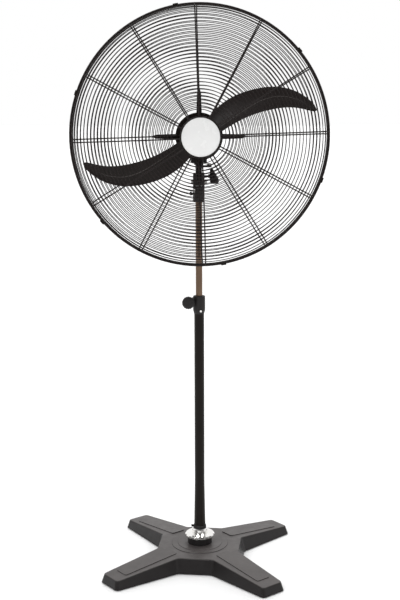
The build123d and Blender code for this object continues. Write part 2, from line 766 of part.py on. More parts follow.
def gear_case():
    x0, x1, y0, y1 = CASE
    body = block(x0, x1, y0, y1, CASE_LOW, CASE_HIGH)
    body = fillet(body.edges().filter_by(Axis.Z), CASE_ROUND)
    wall = CASE_WALL
    body -= block(x0 + wall, x1 - wall, y0 + wall, y1 - wall, CASE_LOW + wall, CASE_HIGH + 1)
    body += rod(11, CRANK_HIGH + 1, CASE_LOW + 1, 0, CRANK_Y)
    body -= rod(CRANK_SHAFT_R + RUNNING, CRANK_HIGH - 1, CASE_LOW + 4, 0, CRANK_Y)
    body -= rod(ARBOR_R + RUNNING, CASE_LOW - 1, CASE_LOW + 4, WHEEL_X, WHEEL_Y)
    return body - rod_y(SHAFT_R + 2, y0 - 1, y0 + 5, 0, HUB_Z)


def gear_cover():
    x0, x1, y0, y1 = CASE
    plate = block(x0, x1, y0, y1, CASE_HIGH, CASE_HIGH + CASE_WALL)
    plate = fillet(plate.edges().filter_by(Axis.Z), CASE_ROUND)
    return plate - rod(CLUTCH_R + RUNNING, CASE_HIGH - 1, CASE_HIGH + 4, WHEEL_X, WHEEL_Y)


def clutch_knob():
    low = CASE_HIGH + 4
    cap = spun([(0, low), (9, low), (12, low + 3), (12, low + 11), (9.5, low + 15), (0, low + 16)])
    body = cap + rod(CLUTCH_R, CASE_HIGH - 10, low + 1)
    for flute in clocked(rod(1.4, low - 1, low + 20, 12.6), 14):
        body -= flute
    body -= rod(3.3, CASE_HIGH - 11, CASE_HIGH)
    return Pos(WHEEL_X, WHEEL_Y, 0) * body


def switch_body():
    x0, x1, y0, y1, z0, z1 = SWITCH
    body = block(*SWITCH)
    body = fillet(body.edges().filter_by(Axis.Y), 5)
    wall = SWITCH_WALL
    body -= block(x0 + wall, x1 - wall, y0 - 1, y1 - wall, z0 + wall, z1 - wall)
    body -= rod_y(ARBOR_R + RUNNING, y0, y1 + 1, *SWITCH_MID)
    return body - rod_x(GLAND_R + TOUCH / 2, x0 - 1, x0 + 5, GLAND_Y, SWITCH_MID[1])


def speed_knob():
    x, z = SWITCH_MID
    y = SWITCH[3] + 0.4
    skirt = rod_y(12, y, y + 5, x, z) + rod_y(9.5, y + 5, y + 15, x, z)
    skirt += block(x - 1.5, x + 1.5, y + 5, y + 16.5, z - 9, z + 9)
    return skirt + rod_y(ARBOR_R, y - 12, y + 1, x, z)


def cord_gland():
    x0 = SWITCH[0]
    z = SWITCH_MID[1]
    body = rod_x(GLAND_R, x0, x0 + 8, GLAND_Y, z) + rod_x(8.5, x0 - 5, x0, GLAND_Y, z)
    body += rod_x(6.5, x0 - 12, x0 - 5, GLAND_Y, z)
    return body - rod_x(CORD_R, x0 - 13, x0 + 9, GLAND_Y, z)


def capacitor():
    can = fillet(rod(CAN_R, 0, CAN_LENGTH).edges(), 2)
    return Location((-49, CASE[2], HUB_Z - 20), (-90, 0, 0)) * can


def motor_yoke():
    body = block(-26, 26, -28, 28, YOKE_BOTTOM, 1376)
    body = fillet(body.edges().filter_by(Axis.Z), 6)
    body -= rod_y(MOTOR_R + TOUCH / 2, -60, 60, 0, HUB_Z)
    body -= rod(10.5, YOKE_BOTTOM - 1, YOKE_BOTTOM + 15)
    return body - rod(12, YOKE_BOTTOM + 15, YOKE_BOTTOM + 40)


def yoke_bush():
    return ring(10.45, SPINDLE_R + RUNNING, YOKE_BOTTOM + 0.1, YOKE_BOTTOM + 15)


# ---------------------------------------------------------------- guards, in the head frame


def guard_spider():
    """Round centre with four short arms that carry the rear guard."""
    body = spun(
        [
            (SPIDER_BORE, MOTOR_FRONT + 0.1),
            (SPIDER_R, MOTOR_FRONT + 0.1),
            (SPIDER_R, SPIDER_FRONT - 1.5),
            (SPIDER_R - 1.5, SPIDER_FRONT),
            (SPIDER_BORE, SPIDER_FRONT),
        ]
    )
    arm = Polyline(
        (SPIDER_R - 5, -8.5), (SPIDER_REACH - 14, -6.5), (SPIDER_REACH, -2.5),
        (SPIDER_REACH, 2.5), (SPIDER_REACH - 14, 6.5), (SPIDER_R - 5, 8.5), close=True,
    )
    arm = Pos(0, 0, MOTOR_FRONT + 0.1) * extrude(make_face(arm), SPIDER_ARM)
    for piece in clocked(arm, 4):
        body += piece
    for place in bolt_places():
        body -= place * rod(MOTOR_HOLE_R, 0, SPIDER_FRONT + 1)
    return HEAD * body


def guard_path(points, bends, side):
    """Centreline of a rib from the centre out to its hoop, as (radius, forward) corners."""
    hoop = Vector(GUARD_R - HOOP_WIRE, 0, RIM + side * HOOP_GAP)
    corners = [Vector(r, 0, z) for r, z in points]
    last = (hoop - corners[-1]).normalized()
    corners.append(hoop - last * (HOOP_WIRE + TOUCH))
    return FilletPolyline(*corners, radius=bends)


def front_path():
    return guard_path(FRONT_CORNERS, FRONT_BENDS, 1)


def rear_path():
    return guard_path(REAR_CORNERS, REAR_BENDS, -1)


def ribs(path, offset):
    start = Plane(origin=path @ 0, z_dir=path % 0)
    wire = sweep(start * Circle(RIB_WIRE), path=path)
    return group([HEAD * piece for piece in clocked(Pos(0, offset, 0) * wire, RIB_COUNT, RIB_CLOCK)])


def wire_ring(radius, forward):
    """A closed ring of wire round the hub axis, its section a many-sided near circle."""
    section = Plane.XZ * Pos(radius, forward) * RegularPolygon(RING_WIRE, WIRE_SIDES)
    return revolve(section, Axis.Z)


def rings(path, first, side):
    """Ring wires lying on the outside of the ribs, evenly spaced along them."""
    away = RIB_WIRE + RING_WIRE + TOUCH
    pieces = []
    station = first
    while station < path.length - 9:
        point = path.position_at(station, PositionMode.LENGTH)
        along = path.tangent_at(station, PositionMode.LENGTH)
        radius = point.X - side * along.Z * away
        forward = point.Z + side * along.X * away
        pieces.append(HEAD * wire_ring(radius, forward))
        station += RING_PITCH
    return group(pieces)


def hoop(side):
    return HEAD * Pos(0, 0, RIM + side * HOOP_GAP) * Torus(GUARD_R - HOOP_WIRE, HOOP_WIRE)


def guard_clips():
    """Channel clips that hold the two hoops together."""
    half = HOOP_GAP + HOOP_WIRE + 0.3
    inner = GUARD_R + 0.3
    outer = inner + CLIP_THICK
    channel = Polyline(
        (outer, 0, RIM - half - 2), (outer, 0, RIM + half + 2), (inner - 6, 0, RIM + half + 2),
        (inner - 6, 0, RIM + half), (inner, 0, RIM + half), (inner, 0, RIM - half),
        (inner - 6, 0, RIM - half), (inner - 6, 0, RIM - half - 2), close=True,
    )
    clip = Rot(0, 0, -CLIP_ARC / 2) * revolve(make_face(channel), Axis.Z, revolution_arc=CLIP_ARC)
    clip -= rod_x(1.25, inner - 10, inner + 10, 0, RIM)
    return group([HEAD * piece for piece in clocked(clip, CLIP_COUNT, CLIP_CLOCK)])


def clip_screws():
    outer = GUARD_R + 0.3 + CLIP_THICK
    screw = rod_x(1.2, outer - 12, outer, 0, RIM) + rod_x(3.0, outer, outer + 1.2, 0, RIM)
    return group([HEAD * piece for piece in clocked(screw, CLIP_COUNT, CLIP_CLOCK)])


def front_centre_plate():
    edge = BADGE_R - 4
    top = PLATE_Z + PLATE_THICK
    return HEAD * spun([(0, PLATE_Z), (edge, PLATE_Z), (edge, top - 2), (edge - 3, top), (0, top)])


def badge():
    """Plain domed disc: a short cylinder under a spherical cap."""
    low = PLATE_Z + PLATE_THICK + TOUCH
    rise = BADGE_HEIGHT - BADGE_EDGE
    sphere_r = (BADGE_R**2 + rise**2) / (2 * rise)
    cap = Pos(0, 0, low + BADGE_HEIGHT - sphere_r) * Sphere(sphere_r)
    return HEAD * (rod(BADGE_R, low, low + BADGE_HEIGHT) & cap)


# ---------------------------------------------------------------- blade, in the head frame


def wing_section(station, low, high, pitch):
    """A thin cambered plate across the wing; its upper edge leads and lies further back."""
    lean = (high - low) / 2 * tan(radians(pitch))
    camber = BLADE_CAMBER * (high - low)
    middle = (low + high) / 2
    half = BLADE_THICK / 2

    def arc(depth, backwards):
        ends = [(station, low, BLADE_Z + lean + depth), (station, high, BLADE_Z - lean + depth)]
        crown = (station, middle, BLADE_Z - camber + depth)
        if backwards:
            ends.reverse()
        return ThreePointArc(ends[0], crown, ends[1])

    front = arc(half, False)
    back = arc(-half, True)
    sides = [Line(front @ 1, back @ 0), Line(back @ 1, front @ 0)]
    return make_face(Wire([front, sides[0], back, sides[1]]))


def fan_blade():
    wing = loft([wing_section(*row) for row in WING])
    body = spun(
        [
            (0, BLADE_BACK),
            (BLADE_HUB_R - 3, BLADE_BACK),
            (BLADE_HUB_R, BLADE_BACK + 3),
            (BLADE_HUB_R, BLADE_FRONT - 5),
            (BLADE_HUB_R - 5, BLADE_FRONT),
            (0, BLADE_FRONT),
        ]
    )
    for piece in clocked(wing, 2, BLADE_CLOCK):
        body += piece
    return HEAD * (body - rod(BLADE_BORE + TOUCH / 2, BLADE_BACK - 1, BLADE_FRONT + 1))


def blade_hub():
    """Metal bush through the blade's centre, fixed on the shaft."""
    back = BLADE_BACK - 8
    body = rod(BLADE_BORE, back, BLADE_FRONT) + rod(18, back, BLADE_BACK - TOUCH)
    return HEAD * (body - rod(SHAFT_R + TOUCH / 4, 0, 400))


def blade_nut():
    low = BLADE_FRONT + TOUCH
    body = Pos(0, 0, low) * extrude(RegularPolygon(13, 8), 9) + rod(15.5, low, low + 2.5)
    return HEAD * (body - rod(SHAFT_R + TOUCH / 4, 0, 400))


PIECES = {
    "base_casting": base_casting,
    "base_feet": base_feet,
    "base_fasteners": base_fasteners,
    "base_collar": base_collar,
    "lock_nut": lock_nut,
    "pole_ferrule": pole_ferrule,
    "pole_ring": pole_ring,
    "ring_screw": ring_screw,
    "outer_pole": outer_pole,
    "guide_bush": guide_bush,
    "height_clamp": height_clamp,
    "clamp_rivet": clamp_rivet,
    "height_knob": height_knob,
    "inner_pole": inner_pole,
    "neck_socket": neck_socket,
    "socket_screw": socket_screw,
    "thumb_screw": thumb_screw,
    "tilt_bolt": tilt_bolt,
    "tilt_nut": tilt_nut,
    "neck_column": neck_column,
    "spindle_clip": spindle_clip,
    "lug_pin": lug_pin,
    "link_arm": link_arm,
    "tilt_lock_bolt": tilt_lock_bolt,
    "tilt_knob": tilt_knob,
    "motor_front_shell": motor_front_shell,
    "motor_rear_shell": motor_rear_shell,
    "motor_bolts": motor_bolts,
    "shaft_bearings": shaft_bearings,
    "stator_core": stator_core,
    "stator_windings": stator_windings,
    "rotor_core": rotor_core,
    "motor_shaft": motor_shaft,
    "worm": worm,
    "reduction_gear": reduction_gear,
    "output_gear": output_gear,
    "crank_disc": crank_disc,
    "gear_case": gear_case,
    "gear_cover": gear_cover,
    "clutch_knob": clutch_knob,
    "switch_body": switch_body,
    "speed_knob": speed_knob,
    "cord_gland": cord_gland,
    "capacitor": capacitor,
    "motor_yoke": motor_yoke,
    "yoke_bush": yoke_bush,
    "guard_spider": guard_spider,
    "rear_guard_ribs": lambda: ribs(rear_path(), REAR_RIB_SHIFT),
    "rear_guard_rings": lambda: rings(rear_path(), REAR_FIRST_RING, -1),
    "rear_guard_hoop": lambda: hoop(-1),
    "front_guard_ribs": lambda: ribs(front_path(), FRONT_RIB_SHIFT),
    "front_guard_rings": lambda: rings(front_path(), FRONT_FIRST_RING, 1),
    "front_guard_hoop": lambda: hoop(1),
    "guard_clips": guard_clips,
    "clip_screws": clip_screws,
    "front_centre_plate": front_centre_plate,
    "badge": badge,
    "fan_blade": fan_blade,
    "blade_hub": blade_hub,
    "blade_nut": blade_nut,
}


if __name__ == "__main__":
    os.makedirs("parts", exist_ok=True)
    for name, make in PIECES.items():
        export_step(make(), f"parts/{name}.step")
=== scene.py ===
import json
from math import cos, pi, radians, sin

import bmesh
import bpy
from mathutils import Matrix, Vector


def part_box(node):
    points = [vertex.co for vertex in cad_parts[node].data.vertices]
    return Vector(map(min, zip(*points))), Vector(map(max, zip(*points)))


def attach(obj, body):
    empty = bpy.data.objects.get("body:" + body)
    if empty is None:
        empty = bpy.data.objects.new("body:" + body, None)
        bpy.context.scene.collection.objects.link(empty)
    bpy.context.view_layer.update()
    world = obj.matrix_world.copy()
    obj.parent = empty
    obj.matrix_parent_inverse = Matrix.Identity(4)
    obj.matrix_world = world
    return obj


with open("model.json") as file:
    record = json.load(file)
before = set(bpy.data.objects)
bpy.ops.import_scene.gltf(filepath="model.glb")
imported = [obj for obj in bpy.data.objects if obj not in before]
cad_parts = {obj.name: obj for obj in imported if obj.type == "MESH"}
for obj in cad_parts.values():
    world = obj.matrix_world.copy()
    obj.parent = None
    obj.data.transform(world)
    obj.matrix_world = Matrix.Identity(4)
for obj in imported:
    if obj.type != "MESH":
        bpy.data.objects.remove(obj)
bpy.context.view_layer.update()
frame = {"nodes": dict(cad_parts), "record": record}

# The camera, level with the head and looking a little down
CAMERA_PLACE = (-0.096, -3.373, 1.475)
CAMERA_DOWN = 9.72
CAMERA_PAN = 1.68
CAMERA_ROLL = 0.17
CAMERA_LENS = 62.33

SENSOR_WIDTH = 36.0

SUN_SPREAD = 30.0
# name, bearing, height above the floor in degrees, power
SUNS = (("key", -35.0, 40.0, 1.5), ("fill", 40.0, 30.0, 0.9), ("top", 170.0, 70.0, 1.1))
FLOOR_HALF = 400.0
ROOM_DIM = 0.08

# Sizes of the model that the mesh pieces are laid on, in millimetres and degrees
HUB_Z = 1430.0
MOTOR_R = 64.0
BADGE_R = 60.0
BADGE_BACK = 222.1
CASE_FLOOR = 1390.0
BLADE_CLOCK = 27.0
RIB_COUNT = 12
RIB_CLOCK = 1.8
RING_WIRE = 1.3
RIB_OFFSET = {"front": 3.5, "rear": -4.5}
BOLT_BEARING = 45
SADDLE_BEARING = 270
COVER_THICK = 3.0

# How far a piece is sunk into the surface that it sits on
SINK = 0.4

RIM_TALL = 4.2
RIM_INSIDE = 1.6
RIM_OUTSIDE = 2.8

FIN_COUNT = 40
FIN_DEEP = 4.4
FIN_WIDE = 1.8
FIN_EDGE = 0.7
FIN_LIFT = 0.8
BOLT_CLEAR = 9
SADDLE_CLEAR = 28
# middle along the motor, length
FINS = {"rear_fins": (-51.0, 44.0), "front_fins": (18.0, 58.0)}

CASE_RIB_TALL = 44.0
CASE_RIB_DEEP = 2.6
CASE_RIB_WIDE = 2.4
CASE_RIB_EDGE = 0.8
SIDE_RIBS = (22.0, 36.0, 50.0)
BACK_RIB_INSET = 20.0
SCREW_INSET = 7.5
SCREW_R = 3.4
SCREW_TALL = 2.4

STRAP_HALF = 5.0
STRAP_THICK = 0.9
STRAP_SINK = 0.3

WELD_R = 1.7
WELD_REACH = 385.0

CREASE_R = 1.1
CREASE_LIFT = 0.5
BEFORE_BLADE = 300.0
# distance along the wing, distance across it
CREASE = [(58.0, -3.0), (140.0, 7.0), (209.0, 12.0), (262.0, 3.0), (305.0, -22.0), (334.0, -54.0)]
CREASE_STEPS = 8

MM = 0.001
SMOOTH_ANGLE = 32.0

# Noise scales of the finishes, per metre
DRIFT = 14.0
# Scale of the noise that varies the painted light on faces that look up
TOP_LIGHT_NOISE = 9.0
CHIPS = 160.0
SMEARS = 45.0
COAT_ROUGH = 0.22


# ---------------------------------------------------------------- materials


class Sheet:
    """A node material under construction, with the object's own coordinates to hand."""

    def __init__(self, name):
        self.material = bpy.data.materials.new(name)
        self.material.use_nodes = True
        self.tree = self.material.node_tree
        self.shader = self.tree.nodes["Principled BSDF"]
        self.coords = self.tree.nodes.new("ShaderNodeTexCoord").outputs["Object"]

    def node(self, kind, **values):
        made = self.tree.nodes.new(kind)
        for name, value in values.items():
            setattr(made, name, value)
        return made

    def link(self, source, target):
        self.tree.links.new(source, target)

    def noise(self, scale, detail=4.0, stretch=(1, 1, 1)):
        """Noise from 0 to 1, its features about 1/scale metres across."""
        mapping = self.node("ShaderNodeMapping")
        mapping.inputs["Scale"].default_value = stretch
        self.link(self.coords, mapping.inputs["Vector"])
        made = self.node("ShaderNodeTexNoise")
        made.inputs["Scale"].default_value = scale
        made.inputs["Detail"].default_value = detail
        self.link(mapping.outputs["Vector"], made.inputs["Vector"])
        return made.outputs["Fac"]

    def spread(self, value, low, high, start=0.3, end=0.7):
        made = self.node("ShaderNodeMapRange")
        made.inputs["From Min"].default_value = start
        made.inputs["From Max"].default_value = end
        made.inputs["To Min"].default_value = low
        made.inputs["To Max"].default_value = high
        self.link(value, made.inputs["Value"])
        return made.outputs["Result"]

    def blend(self, share, first, second):
        """Colour that goes from first to second; each is a colour or another node's output."""
        made = self.node("ShaderNodeMix", data_type="RGBA")
        for socket, colour in ((made.inputs["A"], first), (made.inputs["B"], second)):
            if isinstance(colour, tuple):
                socket.default_value = (*colour, 1.0)
            else:
                self.link(colour, socket)
        self.link(share, made.inputs["Factor"])
        return made.outputs["Result"]

    def edges(self, radius):
        """1 on sharp edges, 0 on flat faces, from how far rounding them turns the normal."""
        bevel = self.node("ShaderNodeBevel", samples=4)
        bevel.inputs["Radius"].default_value = radius
        normal = self.node("ShaderNodeNewGeometry").outputs["Normal"]
        dot = self.node("ShaderNodeVectorMath", operation="DOT_PRODUCT")
        self.link(bevel.outputs["Normal"], dot.inputs[0])
        self.link(normal, dot.inputs[1])
        return self.spread(dot.outputs["Value"], 1.0, 0.0, 0.8, 0.98)

    def upward(self):
        """1 on faces that look up, 0 on those that look level or down."""
        split = self.node("ShaderNodeSeparateXYZ")
        self.link(self.node("ShaderNodeNewGeometry").outputs["Normal"], split.inputs["Vector"])
        return self.spread(split.outputs["Z"], 0.0, 1.0, 0.55, 0.97)

    def times(self, first, second):
        made = self.node("ShaderNodeMath", operation="MULTIPLY")
        self.link(first, made.inputs[0])
        self.link(second, made.inputs[1])
        return made.outputs["Value"]

    def bump(self, height, depth, strength=1.0):
        made = self.node("ShaderNodeBump")
        made.inputs["Distance"].default_value = depth
        made.inputs["Strength"].default_value = strength
        self.link(height, made.inputs["Height"])
        self.link(made.outputs["Normal"], self.shader.inputs["Normal"])


def surface(
    name, colour, other, worn, rough, grain, depth,
    metal=0.0, coat=0.0, wear=0.0006, stretch=(1, 1, 1), shine=0.5, painted_top_light=None,
):
    """A finish whose colour drifts from colour to other, and shows worn along its edges.

    rough is the range of roughness, grain the size of the surface's texture and depth its height.
    The last argument is the colour of faces that look up: painted light that makes them paler than the
    sides, as light from above would.
    """
    sheet = Sheet(name)
    shader = sheet.shader
    shader.inputs["Metallic"].default_value = metal
    shader.inputs["Coat Weight"].default_value = coat
    shader.inputs["Coat Roughness"].default_value = COAT_ROUGH
    shader.inputs["Specular IOR Level"].default_value = shine
    body = sheet.blend(sheet.spread(sheet.noise(DRIFT), 0.0, 1.0), colour, other)
    # Faces that look up are painted paler: painted light from above, put into the colour
    if painted_top_light:
        painted_top_mask = sheet.times(sheet.upward(), sheet.spread(sheet.noise(TOP_LIGHT_NOISE), 0.7, 1.0))
        body = sheet.blend(painted_top_mask, body, painted_top_light)
    chips = sheet.times(sheet.edges(wear), sheet.spread(sheet.noise(CHIPS), 0.0, 1.0, 0.42, 0.62))
    sheet.link(sheet.blend(chips, body, worn), shader.inputs["Base Color"])
    sheet.link(sheet.spread(sheet.noise(SMEARS, 6.0, stretch), *rough), shader.inputs["Roughness"])
    sheet.bump(sheet.noise(1.0 / grain, 3.0, stretch), depth)
    return sheet.material


FINISHES = {
    "cast_base": dict(
        colour=(0.007, 0.005, 0.005), other=(0.005, 0.0035, 0.0035), worn=(0.05, 0.043, 0.041),
        rough=(0.36, 0.48), grain=1.6 * MM, depth=0.08 * MM, wear=1.2 * MM, shine=0.35,
        # Its tops are painted paler than its near-black sides: painted light from above
        painted_top_light=(0.075, 0.067, 0.065),
    ),
    "rubber": dict(
        colour=(0.02, 0.02, 0.02), other=(0.032, 0.031, 0.03), worn=(0.06, 0.058, 0.055),
        rough=(0.75, 0.92), grain=0.6 * MM, depth=0.05 * MM,
    ),
    "black_paint": dict(
        colour=(0.005, 0.0032, 0.0022), other=(0.008, 0.0055, 0.004), worn=(0.03, 0.024, 0.02),
        rough=(0.32, 0.44), grain=1.1 * MM, depth=0.04 * MM, shine=0.15,
    ),
    "wire": dict(
        colour=(0.009, 0.0055, 0.005), other=(0.013, 0.0085, 0.0075), worn=(0.03, 0.023, 0.021),
        rough=(0.38, 0.52), grain=0.8 * MM, depth=0.02 * MM, wear=0.2 * MM, shine=0.2,
    ),
    "chrome": dict(
        colour=(0.93, 0.92, 0.9), other=(0.85, 0.84, 0.82), worn=(0.97, 0.96, 0.94),
        rough=(0.1, 0.24), grain=0.5 * MM, depth=0.006 * MM, metal=1.0, wear=0.4 * MM,
    ),
    "bronze_tube": dict(
        colour=(0.17, 0.115, 0.078), other=(0.13, 0.085, 0.057), worn=(0.34, 0.26, 0.19),
        rough=(0.26, 0.4), grain=0.5 * MM, depth=0.01 * MM, metal=0.9, stretch=(1, 1, 0.04),
    ),
    "black_plastic": dict(
        colour=(0.007, 0.006, 0.006), other=(0.011, 0.009, 0.009), worn=(0.035, 0.031, 0.03),
        rough=(0.45, 0.6), grain=0.7 * MM, depth=0.04 * MM, shine=0.3,
    ),
    "blade_black": dict(
        colour=(0.009, 0.006, 0.005), other=(0.013, 0.009, 0.008), worn=(0.03, 0.024, 0.022),
        rough=(0.38, 0.5), grain=1.2 * MM, depth=0.02 * MM, shine=0.22,
    ),
    # Paler black for the blade's bead: a painted highlight along the crease
    "painted_crease_highlight": dict(
        colour=(0.06, 0.05, 0.046), other=(0.045, 0.037, 0.034), worn=(0.09, 0.078, 0.072),
        rough=(0.34, 0.46), grain=1.2 * MM, depth=0.02 * MM,
    ),
    "motor_black": dict(
        colour=(0.012, 0.011, 0.011), other=(0.019, 0.017, 0.017), worn=(0.07, 0.066, 0.064),
        rough=(0.4, 0.55), grain=0.9 * MM, depth=0.07 * MM, shine=0.4,
    ),
    "steel": dict(
        colour=(0.5, 0.49, 0.47), other=(0.38, 0.37, 0.36), worn=(0.68, 0.67, 0.65),
        rough=(0.26, 0.42), grain=0.5 * MM, depth=0.01 * MM, metal=1.0, wear=0.3 * MM,
    ),
    "copper": dict(
        colour=(0.5, 0.2, 0.08), other=(0.38, 0.14, 0.05), worn=(0.62, 0.3, 0.15),
        rough=(0.3, 0.45), grain=0.9 * MM, depth=0.12 * MM, metal=0.85,
    ),
    "bronze_bush": dict(
        colour=(0.47, 0.3, 0.13), other=(0.36, 0.22, 0.09), worn=(0.6, 0.42, 0.2),
        rough=(0.35, 0.5), grain=0.4 * MM, depth=0.02 * MM, metal=1.0, wear=0.3 * MM,
    ),
    "nylon": dict(
        colour=(0.72, 0.69, 0.62), other=(0.64, 0.61, 0.54), worn=(0.8, 0.78, 0.72),
        rough=(0.4, 0.55), grain=0.6 * MM, depth=0.02 * MM, wear=0.3 * MM,
    ),
    "badge_white": dict(
        colour=(0.76, 0.76, 0.755), other=(0.72, 0.72, 0.715), worn=(0.8, 0.8, 0.79),
        rough=(0.2, 0.3), grain=1.5 * MM, depth=0.01 * MM, coat=0.3,
    ),
}


def dress_frame():
    """Gives every CAD node the finish of its slot, smooth where its faces meet gently."""
    finishes = {slot: surface(slot, **values) for slot, values in FINISHES.items()}
    for part in frame["record"]["subparts"]:
        node = frame["nodes"][part["node"]]
        node.data.materials.clear()
        node.data.materials.append(finishes[part["material_slot"]])
        node.data.shade_smooth()
        node.data.set_sharp_from_angle(angle=radians(SMOOTH_ANGLE))
    return finishes


# ---------------------------------------------------------------- mesh pieces


def head_place(turn=0.0):
    """The head's frame, in millimetres: X right, Y up, Z forward, turned about the hub axis."""
    frame_turn = Matrix.Rotation(pi / 2, 4, "X") @ Matrix.Rotation(radians(turn), 4, "Z")
    return Matrix.Translation((0, 0, HUB_Z * MM)) @ frame_turn @ Matrix.Scale(MM, 4)


def row_place(x, y, z):
    return Matrix.Translation((x * MM, y * MM, z * MM)) @ Matrix.Scale(MM, 4)


class Shape:
    """A mesh built up in millimetres and set in the row frame by a matrix."""

    def __init__(self):
        self.mesh = bmesh.new()

    def turned(self, profile, place, steps=28, closed=False):
        """Turns (radius, height, corners) stations about Z; corners 0 is round, 6 a hexagon."""
        rows = []
        for radius, height, corners in profile:
            row = []
            for step in range(steps if radius > 0 else 1):
                turn = 2 * pi * step / steps
                reach = radius
                if corners:
                    share = turn % (2 * pi / corners) - pi / corners
                    reach = radius * cos(pi / corners) / cos(share)
                spot = Vector((reach * cos(turn), reach * sin(turn), height))
                row.append(self.mesh.verts.new(place @ spot))
            rows.append(row)
        pairs = list(zip(rows, rows[1:]))
        if closed:
            pairs.append((rows[-1], rows[0]))
        for low, high in pairs:
            for step in range(steps):
                after = (step + 1) % steps
                corners = [low[step % len(low)], low[after % len(low)]]
                corners += [high[after % len(high)], high[step % len(high)]]
                self.mesh.faces.new(list(dict.fromkeys(corners)))

    def bar(self, size, edge, place):
        """A bar with its edges rounded, centred on the place."""
        made = bmesh.ops.create_cube(self.mesh, size=1.0)["verts"]
        for vert in made:
            vert.co = Vector([a * b for a, b in zip(vert.co, size)])
        edges = list({e for vert in made for e in vert.link_edges})
        result = bmesh.ops.bevel(self.mesh, geom=edges, offset=edge, segments=2, affect="EDGES")
        corners = set(result["verts"]) | {vert for vert in made if vert.is_valid}
        bmesh.ops.transform(self.mesh, matrix=place, verts=list(corners))

    def nugget(self, radius, place):
        profile = [(0, -radius, 0), (0.87 * radius, -0.5 * radius, 0)]
        profile += [(0.87 * radius, 0.5 * radius, 0), (0, radius, 0)]
        self.turned(profile, place, 7)

    def strand(self, spots, radius, sides=8):
        """A round bead along spots already in the row frame, thin at its ends."""
        rows = []
        for index, spot in enumerate(spots):
            before, after = spots[max(index - 1, 0)], spots[min(index + 1, len(spots) - 1)]
            turn = (after - before).to_track_quat("Z", "Y")
            share = index / (len(spots) - 1)
            reach = radius * MM * max(sin(pi * share) ** 0.4, 0.05)
            row = []
            for side in range(sides):
                angle = 2 * pi * side / sides
                offset = turn @ Vector((reach * cos(angle), reach * sin(angle), 0))
                row.append(self.mesh.verts.new(spot + offset))
            rows.append(row)
        for low, high in zip(rows, rows[1:]):
            for side in range(sides):
                after = (side + 1) % sides
                self.mesh.faces.new([low[side], low[after], high[after], high[side]])
        self.mesh.faces.new(rows[0][::-1])
        self.mesh.faces.new(rows[-1])

    def finish(self, name, body, slot, finishes, look=None):
        """Makes the mesh a piece of its body. look names a finish other than the slot's own."""
        bmesh.ops.recalc_face_normals(self.mesh, faces=self.mesh.faces)
        data = bpy.data.meshes.new(name)
        self.mesh.to_mesh(data)
        self.mesh.free()
        data.materials.append(finishes[look or slot])
        data.shade_smooth()
        data.set_sharp_from_angle(angle=radians(SMOOTH_ANGLE))
        made = bpy.data.objects.new(name, data)
        bpy.context.scene.collection.objects.link(made)
        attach(made, body)


def screw_head(shape, radius, height, place):
    """A domed head with a hexagon socket sunk in it."""
    socket = 0.45 * radius
    shape.turned(
        [
            (radius, -SINK, 0), (radius, 0.45 * height, 0), (0.8 * radius, 0.85 * height, 0),
            (0.6 * radius, height, 0), (socket, height, 6), (socket, 0.4 * height, 6), (0, 0.4 * height, 0),
        ],
        place,
    )


def badge_rim(finishes):
    """The dark bead round the badge's edge."""
    shape = Shape()
    low, high = BADGE_BACK - SINK, BADGE_BACK + RIM_TALL
    inside, outside = BADGE_R - RIM_INSIDE, BADGE_R + RIM_OUTSIDE
    profile = [
        (inside, high - 0.3, 0), (inside, low, 0), (outside - 0.6, low, 0),
        (outside, low + 1.2, 0), (outside - 0.4, high - 1.2, 0), (outside - 2.0, high, 0),
    ]
    shape.turned(profile, head_place(), 96, closed=True)
    shape.finish("badge_rim", "head", "black_paint", finishes)


def motor_fins(finishes):
    """Low cooling fins along both halves of the motor, clear of its bolts and saddle."""
    for name, (middle, length) in FINS.items():
        shape = Shape()
        for index in range(FIN_COUNT):
            bearing = index * 360 / FIN_COUNT
            from_bolt = abs(bearing % 90 - BOLT_BEARING)
            if from_bolt < BOLT_CLEAR or abs(bearing - SADDLE_BEARING) < SADDLE_CLEAR:
                continue
            place = head_place(bearing) @ Matrix.Translation((MOTOR_R + FIN_LIFT, 0, middle))
            shape.bar((FIN_DEEP, FIN_WIDE, length), FIN_EDGE, place)
        shape.finish(name, "head", "motor_black", finishes)


def case_trim(finishes):
    """Stiffening ribs on the gear case and the screws of its cover."""
    low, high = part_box("gear_case")
    x0, x1, y0, y1 = (value / MM for value in (low.x, high.x, low.y, high.y))
    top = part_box("gear_cover")[1].z / MM
    shape = Shape()
    middle = (top - COVER_THICK + CASE_FLOOR) / 2
    for x in (x0, x1):
        for along in SIDE_RIBS:
            size = (CASE_RIB_DEEP, CASE_RIB_WIDE, CASE_RIB_TALL)
            shape.bar(size, CASE_RIB_EDGE, row_place(x, y0 + along, middle))
    for x in (x0 + BACK_RIB_INSET, (x0 + x1) / 2, x1 - BACK_RIB_INSET):
        size = (CASE_RIB_WIDE, CASE_RIB_DEEP, CASE_RIB_TALL)
        shape.bar(size, CASE_RIB_EDGE, row_place(x, y1, middle))
    shape.finish("case_ribs", "head", "motor_black", finishes)
    shape = Shape()
    for x in (x0 + SCREW_INSET, x1 - SCREW_INSET):
        for y in (y0 + SCREW_INSET, y1 - SCREW_INSET):
            screw_head(shape, SCREW_R, SCREW_TALL, row_place(x, y, top))
    shape.finish("cover_screws", "head", "steel", finishes)


